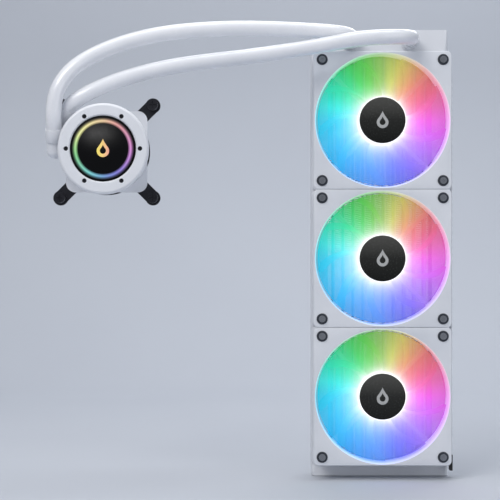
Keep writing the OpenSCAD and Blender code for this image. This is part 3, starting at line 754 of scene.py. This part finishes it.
def lead(start, direction, distances):
    """Control points on a straight line, which make the hose leave a port squarely."""
    return [np.array(start, float) + np.array(direction, float) * d for d in distances]


def make_hose(name, barb_x, way, port, axis, distances):
    path = (lead((barb_x, TANK_FRONT - 2, BARB_Z), (0, -1, 0), (0, 6, 12, 18))
            + way + lead(port, axis, distances))
    frames = carried_frames(spline(path), across=[1, 1, -1])
    outer = [circle_about(*f, HOSE_OUTER, HOSE_SIDES) for f in frames]
    inner = [circle_about(*f, HOSE_BORE, HOSE_SIDES) for f in frames]
    shell = Shell()
    shell.rings(outer + inner[::-1], closed=True)
    ob = shell.object(name + "_sleeve", MATERIALS["hose_rubber"], sharp_angle=50)
    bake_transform(ob)
    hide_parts(name)


for hose in HOSES:
    make_hose(*hose)


# ------------------------------------------------------------------ fan cables
CABLE_X = 61.45                 # run down the side of the radiator
CABLE_END_Z = -171.9
CABLE_STEP = 1.3                # spacing of the points along a cable
CORE_COUNT = 3
CORE_RADIUS, CORE_OFFSET = 0.53, 0.56
CORE_LAY = 19.0                 # length of one full twist


def cable_path(fan, run_y):
    """Out of the frame's +X side near its upper corner, round a bend, then straight down."""
    bend_x, bend_y, bend_z = 60.1, fan.rear - 1.5, fan.z + 45.4
    path = [(57.7, fan.rear - 1.3, fan.z + 46), (bend_x, bend_y, bend_z)]
    for degrees in range(15, 90, 15):
        c, s = math.cos(math.radians(degrees)), math.sin(math.radians(degrees))
        path.append((bend_x + 1.3 * s, bend_y + (run_y - bend_y) * (1 - c), bend_z - 8 * s))
    path += [(CABLE_X, run_y, fan.z + 34), (CABLE_X, run_y, fan.z + 30)]
    z = fan.z + 30
    while z > -168:
        z -= 12
        path.append((CABLE_X, run_y, max(z, CABLE_END_Z)))
    return [np.array(p, float) for p in path]


def smoothed(path, passes=6):
    """Divide a path into short steps and soften its corners."""
    dense = []
    for a, b in zip(path, path[1:]):
        n = max(1, int(np.linalg.norm(b - a) / CABLE_STEP))
        dense += [a + (b - a) * j / n for j in range(n)]
    dense.append(path[-1])
    for _ in range(passes):
        middle = [(a + 2 * b + c) / 4 for a, b, c in zip(dense, dense[1:], dense[2:])]
        dense = [dense[0]] + middle + [dense[-1]]
    return np.array(dense)


def make_cables():
    """Three insulated cores laid together for each fan."""
    shell = Shell()
    for k, fan in enumerate(FANS):
        points = smoothed(cable_path(fan, fan.rear - 4.5 - 3 * (2 - k)))
        steps = np.linalg.norm(np.diff(points, axis=0), axis=1)
        run = np.concatenate([[0], np.cumsum(steps)])
        frames = carried_frames(points, across=[0, 1, 0.3])
        for core in range(CORE_COUNT):
            rings = []
            for (p, u, v), length in zip(frames, run):
                w = 2 * PI * (core / CORE_COUNT + length / CORE_LAY)
                centre = p + CORE_OFFSET * (u * math.cos(w) + v * math.sin(w))
                rings.append(circle_about(centre, u, v, CORE_RADIUS, 10))
            shell.rings(rings)
    ob = shell.object("fan_cable_cores", MATERIALS["white_cable"], sharp_angle=50)
    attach(ob, "root")
    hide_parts("fan_cables")


make_cables()


# ------------------------------------------------------------------ rotors
N_BLADES = 9
HUB_R, TIP_R = 21.0, 56.1
BLADE_ROOT = HUB_R - 0.6        # blades start inside the hub wall
BLADE_SWEEP = 414               # degrees covered by all the blades together; they overlap
BLADE_STEPS_OUT, BLADE_STEPS_ALONG = 14, 16
TIP_ROUND_START = 0.9           # share of the blade's length where its corners start to round


def blade_surface(u, v, side, front):
    """(radius, angle, y) at u from root to tip, v along the chord, side -1 front or 1 rear."""
    r = BLADE_ROOT + (TIP_R - BLADE_ROOT) * u
    span = BLADE_SWEEP / N_BLADES * (1 + 0.08 * u)
    angle = math.radians(-26 * u ** 1.4 + span * v)
    camber = 1.6 * math.sin(PI * v) * (1 - 0.4 * u)
    fullness = 0.35 + 0.65 * math.sin(PI * (0.08 + 0.84 * v)) ** 0.5
    half_thickness = (0.75 - 0.25 * u) * fullness
    y = front + 3.6 + (14.6 - 3.4 * u) * v - camber + side * half_thickness
    return r, angle, y


def blade_rings(fan, turn):
    along = range(BLADE_STEPS_ALONG + 1)
    rings = []
    for i in range(BLADE_STEPS_OUT + 1):
        u = i / BLADE_STEPS_OUT
        cut = 0.0
        if u > TIP_ROUND_START:
            w = (u - TIP_ROUND_START) / (1 - TIP_ROUND_START)
            cut = (1 - math.sqrt(max(0, 1 - w * w))) * 0.07
        loop = []
        for side, order in ((-1, along), (1, reversed(along))):
            for j in order:
                v = cut + j / BLADE_STEPS_ALONG * (1 - 2 * cut)
                r, angle, y = blade_surface(u, v, side, fan.front)
                loop.append((fan.x + r * math.sin(angle + turn), y,
                             fan.z + r * math.cos(angle + turn)))
        rings.append(loop)
    return rings


def hub_profile(fan):
    """(radius, y) of the cup, open to the rear, with a bored boss in its face."""
    face, rim = fan.front + 1.4, fan.rear - 5.6
    return [
        (2.0, face + 5.0), (3.6, face + 5.0), (3.6, face + 1.6), (HUB_R - 1.5, face + 1.6),
        (HUB_R - 1.5, rim), (HUB_R - 0.2, rim), (HUB_R, rim - 0.3), (HUB_R, face + 1.1),
        (HUB_R - 0.2, face + 0.5), (HUB_R - 0.7, face + 0.1), (HUB_R - 1.2, face), (2.0, face),
    ]


def make_rotor(fan):
    shell = Shell()
    for k in range(N_BLADES):
        shell.rings(blade_rings(fan, 2 * PI * k / N_BLADES))
    shell.lathe_y(fan.x, fan.z, hub_profile(fan), 128)
    ob = shell.object(f"fan_rotor_{fan.number}_lit", MATERIALS[f"blade_{fan.number}"],
                      sharp_angle=35)
    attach(ob, ROTOR_BODY[fan.number])
    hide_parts(f"fan_rotor_{fan.number}")


for fan in FANS:
    make_rotor(fan)


# ------------------------------------------------------------------ fan frames
FRAME_HALF, FRAME_CORNER = 59.9, 4.0
SCREW_HALF = 52.5               # screw bosses at plus and minus this from the centre
DUCT_R = 57.5
# Rear motor base and bearing tube: (radius, y from the rear face)
MOTOR_BASE = [
    (5.5, -4), (19.4, -4), (20, -3.4), (20, -0.6), (19.4, 0), (4.0, 0), (4.0, -1.6),
    (4.1, -1.7), (4.1, -18), (5.3, -18), (5.5, -17.8),
]
# Struts: (distance from the axis, half width)
STRUT_STATIONS = [(19.2, 2.6), (26, 2.0), (48, 2.0), (57.9, 2.7)]


def rounded_square(half, corner, n_edge=22, n_arc=8):
    """(x, z) points: the +X edge going up, its upper corner, and so on round."""
    points = []
    for quarter in range(4):
        c, s = math.cos(quarter * PI / 2), math.sin(quarter * PI / 2)
        side = [(half, -(half - corner) + 2 * (half - corner) * k / n_edge)
                for k in range(n_edge)]
        for k in range(n_arc):
            a = PI / 2 * k / n_arc
            side.append((half - corner + corner * math.cos(a),
                         half - corner + corner * math.sin(a)))
        points += [(x * c - z * s, x * s + z * c) for x, z in side]
    return points


# Circles carry one point for each point of the square
THETA = [math.atan2(z, x) for x, z in rounded_square(FRAME_HALF, FRAME_CORNER)]


def frame_section(front, rear):
    """Rings from the front flange's edge through the duct and back along the outside."""
    def square(half, corner, y):
        return [(x, y, z) for x, z in rounded_square(half, corner)]

    def circle(r, y):
        return [(r * math.cos(a), y, r * math.sin(a)) for a in THETA]

    return [
        # front flange edge and face
        square(FRAME_HALF, FRAME_CORNER, front + 3.4),
        square(FRAME_HALF, FRAME_CORNER, front + 0.7), square(59.75, 3.9, front + 0.3),
        square(59.45, 3.7, front + 0.06), square(59.2, 3.6, front),
        # flared duct
        circle(58.95, front), circle(58.7, front + 0.08), circle(58.45, front + 0.35),
        circle(58.3, front + 0.8), circle(58.0, front + 1.6), circle(57.7, front + 3.0),
        circle(DUCT_R, front + 5.0), circle(DUCT_R, rear - 6), circle(57.9, rear - 3),
        circle(58.6, rear - 0.6), circle(58.9, rear),
        # rear flange
        square(59.2, 3.6, rear), square(59.6, 3.8, rear - 0.15),
        square(FRAME_HALF, FRAME_CORNER, rear - 0.6),
        square(FRAME_HALF, FRAME_CORNER, rear - 3.4),
        square(59.7, 3.9, rear - 3.85), square(59.3, 3.6, rear - 4.0),
        # round barrel between the flanges
        circle(59.15, rear - 4.15), circle(59.0, rear - 4.6),
        circle(59.0, front + 4.6), circle(59.15, front + 4.15),
        square(59.3, 3.6, front + 4.0), square(59.7, 3.9, front + 3.85),
    ]


def add_bosses(shell, fan, rear):
    front = fan.front
    profile = [(2.2, front + 3.9), (4.9, front + 3.9), (4.6, front + 4.6),
               (4.6, rear - 4.6), (4.9, rear - 3.9), (2.2, rear - 3.9)]
    for sx in (-1, 1):
        for sz in (-1, 1):
            shell.lathe_y(fan.x + sx * SCREW_HALF, fan.z + sz * SCREW_HALF, profile, 32)


def add_struts(shell, fan, rear):
    for k in range(4):
        a = PI / 4 + k * PI / 2
        outward = np.array([math.cos(a), 0, math.sin(a)])
        across = np.array([-math.sin(a), 0, math.cos(a)])
        rings = []
        for distance, w in STRUT_STATIONS:
            centre = np.array([fan.x, rear, fan.z]) + outward * distance
            # (position across the strut, y from the rear face)
            profile = [(-w, -3.0), (-w + 0.5, -3.5), (w - 0.5, -3.5), (w, -3.0),
                       (w, -0.6), (w - 0.4, -0.1), (-w + 0.4, -0.1), (-w, -0.6)]
            rings.append([centre + across * q + np.array([0, y, 0]) for q, y in profile])
        shell.rings(rings)


def make_frame(fan):
    rear = fan.rear - 0.01
    shell = Shell()
    shell.rings([[(x + fan.x, y, z + fan.z) for x, y, z in ring]
                 for ring in frame_section(fan.front, rear)], closed=True)
    add_bosses(shell, fan, rear)
    shell.lathe_y(fan.x, fan.z, [(r, rear + y) for r, y in MOTOR_BASE], 96)
    add_struts(shell, fan, rear)
    ob = shell.object(f"fan_frame_{fan.number}_shell", MATERIALS[f"frame_{fan.number}"],
                      sharp_angle=38)
    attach(ob, "root")
    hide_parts(f"fan_frame_{fan.number}")


for fan in FANS:
    make_frame(fan)


# ------------------------------------------------------------------ radiator fins
TUBE_COUNT, TUBE_PITCH = 12, 9
TUBE_CLEAR = 1.05               # from a tube's centre to the fins beside it
FIN_EDGE = 58.6                 # outermost x of the fins
FIN_PITCH = 1.9                 # height of one full zigzag
FIN_WIDTH = 0.384               # width of the folded strip along X
FIN_OVERRUN = 4.0               # fins go this far past the CAD block, above and below


def make_fins():
    """One zigzag strip in each gap beside the tubes."""
    lo, hi = mm_box("radiator_fins")
    tubes = [(i - (TUBE_COUNT - 1) / 2) * TUBE_PITCH for i in range(TUBE_COUNT)]
    starts = [-FIN_EDGE] + [x + TUBE_CLEAR for x in tubes]
    ends = [x - TUBE_CLEAR for x in tubes] + [FIN_EDGE]
    z0, z1 = lo[2] - FIN_OVERRUN, hi[2] + FIN_OVERRUN
    folds = 2 * int((z1 - z0) / FIN_PITCH)
    shell = Shell()
    for a, b in zip(starts, ends):
        rings = []
        for k in range(folds + 1):
            left, right = (a + FIN_WIDTH, a) if k % 2 == 0 else (b, b - FIN_WIDTH)
            z = z0 + k * FIN_PITCH / 2
            rings.append([(left, lo[1], z), (left, hi[1], z), (right, hi[1], z),
                          (right, lo[1], z)])
        shell.rings(rings)
    ob = shell.object("radiator_fins_fine", MATERIALS["fin"], sharp_angle=25)
    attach(ob, "root")
    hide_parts("radiator_fins")


make_fins()


# ------------------------------------------------------------------ coil springs
SPRING_HALF = 39.0              # springs at plus and minus this from the pump's centre
SPRING_REAR, SPRING_FRONT = PLATE_REAR - 9.25, PLATE_REAR - 13.55
COIL_R, WIRE_R = 3.4, 0.4
COIL_TURNS, COIL_SEGMENTS = 3.6, 28
CLOSED_END = 0.12               # share of the wire that lies flat at each end


def make_spring(number, sx, sz):
    total = int(COIL_TURNS * COIL_SEGMENTS)
    points = []
    for q in range(total + 1):
        a = 2 * PI * q / COIL_SEGMENTS
        rise = min(1, max(0, (q / total - CLOSED_END) / (1 - 2 * CLOSED_END)))
        points.append((PUMP_X + sx * SPRING_HALF + COIL_R * math.cos(a),
                       SPRING_REAR + (SPRING_FRONT - SPRING_REAR) * rise,
                       PUMP_Z + sz * SPRING_HALF + COIL_R * math.sin(a)))
    points = np.array(points)
    rings = []
    for p, tangent in zip(points, tangents(points)):
        u = unit(np.cross(tangent, [0, 1, 0]))
        rings.append(circle_about(p, u, np.cross(tangent, u), WIRE_R, 10))
    shell = Shell()
    shell.rings(rings)
    ob = shell.object(f"coil_spring_{number}", MATERIALS["bright_steel"], sharp_angle=40)
    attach(ob, "pump_head")
    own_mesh(ob)
    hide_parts("screw_springs")


for number, (sx, sz) in enumerate(((-1, 1), (1, 1), (1, -1), (-1, -1)), 1):
    make_spring(number, sx, sz)


# ------------------------------------------------------------------ drop marks on badges and cap
MARK_HEIGHT = 15.0
MARK_RAISE = 0.5                # above the centre of its disc
MARK_SINK = 0.02                # set into the face


def drop_outline(h, steps=40):
    """Plain water drop of height h, tip up, as (x, z)."""
    r = h * 0.34
    round_z, top = -h / 2 + r, h / 2
    start = math.acos(r / (top - round_z))
    points = []
    for k in range(steps + 1):
        a = start + (2 * PI - 2 * start) * k / steps
        points.append((r * math.sin(a), round_z + r * math.cos(a)))
    # concave shoulders towards the tip
    x1, z1 = points[-1]
    left = [(x1 * (1 - t) ** 1.25, z1 + (top - z1) * t) for t in np.linspace(0, 1, 8)[1:]]
    right = [(-x, z) for x, z in left[:-1]][::-1]
    return points + left + right


def make_mark(name, cx, cz, face_y, depth, material, body):
    """A raised drop with a drop-shaped hole, standing depth in front of face_y."""
    outline = drop_outline(MARK_HEIGHT)
    cz += MARK_RAISE
    y = face_y + MARK_SINK

    def ring(size, y, drop=0.0):
        return [(cx + x * size, y, cz - drop + z * size) for x, z in outline]

    hole = {"size": 0.5, "drop": MARK_HEIGHT * 0.07}
    shell = Shell()
    shell.rings([ring(1.0, y), ring(1.0, y - depth * 0.6), ring(0.97, y - depth),
                 ring(y=y - depth, **hole), ring(y=y, **hole)], closed=True)
    ob = shell.object(name, material, sharp_angle=30)
    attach(ob, body)


def grey_print():
    t = Tree("badge_print")
    f = t.noise(scale=1400, detail=2)
    return t.surface(t.bsdf(t.mix(f, srgb(168, 168, 166), srgb(190, 190, 188)),
                            t.spread(f, to=(0.35, 0.5)),
                            normal=t.bump(f, strength=0.2, distance=0.00003)))


def lit_mark():
    """Light that runs from yellow at -X to pink at +X."""
    reach = 7                   # half the width of the gradient, mm
    t = Tree("cap_light_mark")
    x = t.remap(t.xyz()[0], span=((PUMP_X - reach) * MM, (PUMP_X + reach) * MM), to=(0, 1))
    col = t.ramp(x, [(0, srgb(250, 240, 110)), (0.5, srgb(252, 214, 140)),
                     (1, srgb(248, 160, 170))])
    return t.surface(t.emission(col, t.spread(t.noise(scale=300), to=(0.85, 1.0))))


grey = grey_print()
for fan in FANS:
    badge_front = mm_box(f"fan_badge_{fan.number}")[0][1]
    make_mark(f"fan_mark_{fan.number}", fan.x, fan.z, badge_front, 0.18, grey,
              ROTOR_BODY[fan.number])
cap_front = mm_box("pump_mirror_cap")[0][1]
make_mark("pump_mark", PUMP_X, PUMP_Z, cap_front, 0.12, lit_mark(), "pump_head")


# ------------------------------------------------------------------ stage (metres from here on)
FLOOR_Z = cad_lo[2] - 0.0005
FLOOR_FRONT, FLOOR_REAR = -3.0, 0.75
SWEEP_R = 0.55                  # curve between floor and back wall
FLOOR_HALF_WIDTH = 6


def stage_mat():
    """Pale matt backdrop, clear from behind so that the part shows from every side."""
    t = Tree("studio_pale")
    matt = t.bsdf(t.mix(t.noise(scale=3), srgb(186, 190, 198), srgb(192, 196, 203)), rough=0.75,
                  normal=t.bump(t.noise(scale=300, detail=2), strength=0.05, distance=0.0005))
    return t.surface(t.see_through(t.backfacing(), matt))


def make_floor():
    profile = [(y, FLOOR_Z) for y in np.linspace(FLOOR_FRONT, FLOOR_REAR, 14)]
    for k in range(1, 25):
        a = PI / 2 * k / 24
        profile.append((FLOOR_REAR + SWEEP_R * math.sin(a),
                        FLOOR_Z + SWEEP_R * (1 - math.cos(a))))
    profile += [(FLOOR_REAR + SWEEP_R, FLOOR_Z + SWEEP_R + 0.3 * k) for k in range(1, 12)]
    verts = [(x, y, z) for y, z in profile for x in (-FLOOR_HALF_WIDTH, FLOOR_HALF_WIDTH)]
    faces = [(2 * k, 2 * k + 1, 2 * k + 3, 2 * k + 2) for k in range(len(profile) - 1)]
    floor = new_object("studio_floor", verts, faces)
    floor.data.materials.append(stage_mat())
    shade_smooth(floor.data, sharp_angle=60)
    floor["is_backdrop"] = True


make_floor()

MIDDLE = (-0.12, -0.04, 0.0)
# Name, place, target, size, power in watts, colour
LIGHTS = [
    ("key", (-0.9, -1.3, 1.3), MIDDLE, (1.0, 0.7), 16, (1.0, 0.98, 0.96)),
    ("fill", (1.3, -1.4, 0.3), MIDDLE, (1.2, 1.2), 7, (0.93, 0.96, 1.0)),
    ("top", (-0.1, -0.2, 1.7), MIDDLE, (1.6, 0.8), 12, (0.96, 0.98, 1.0)),
    ("rear", (0.2, 1.1, 1.0), MIDDLE, (1.2, 0.6), 8, (0.92, 0.95, 1.0)),
    ("low_strip", (-0.25, -0.75, -0.55), (-0.14, -0.08, 0.17), (1.3, 0.05), 3.0,
     (0.86, 0.90, 1.0)),
]


def area_light(name, place, target, size, power, color):
    light = bpy.data.lights.new(name, "AREA")
    light.shape = "RECTANGLE"
    light.size, light.size_y = size
    light.energy = power
    light.color = color
    ob = bpy.data.objects.new(name, light)
    ob.location = place
    ob.rotation_mode = "QUATERNION"
    ob.rotation_quaternion = (Vector(target) - Vector(place)).to_track_quat("-Z", "Y")
    bpy.context.scene.collection.objects.link(ob)


for light in LIGHTS:
    area_light(*light)


def set_world():
    """Even bluish light from all round."""
    world = bpy.data.worlds.new("studio")
    bpy.context.scene.world = world
    world.use_nodes = True
    background = world.node_tree.nodes["Background"]
    background.inputs["Color"].default_value = (0.78, 0.82, 0.90, 1)
    background.inputs["Strength"].default_value = 0.42


def set_camera():
    """Level camera in front, looking towards +Y."""
    scene = bpy.context.scene
    data = bpy.data.cameras.new("camera")
    camera = bpy.data.objects.new("camera", data)
    scene.collection.objects.link(camera)
    data.sensor_width = 36
    data.lens = 107.9
    data.shift_x = 0.033
    data.shift_y = 0.020
    data.clip_start = 0.05
    data.clip_end = 50
    camera.location = (-0.1294, -1.352, -0.0014)
    camera.rotation_euler = (PI / 2, 0, 0)
    scene.camera = camera
    scene.view_settings.view_transform = "Standard"
    scene.view_settings.look = "None"


set_world()
set_camera()

lo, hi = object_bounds()
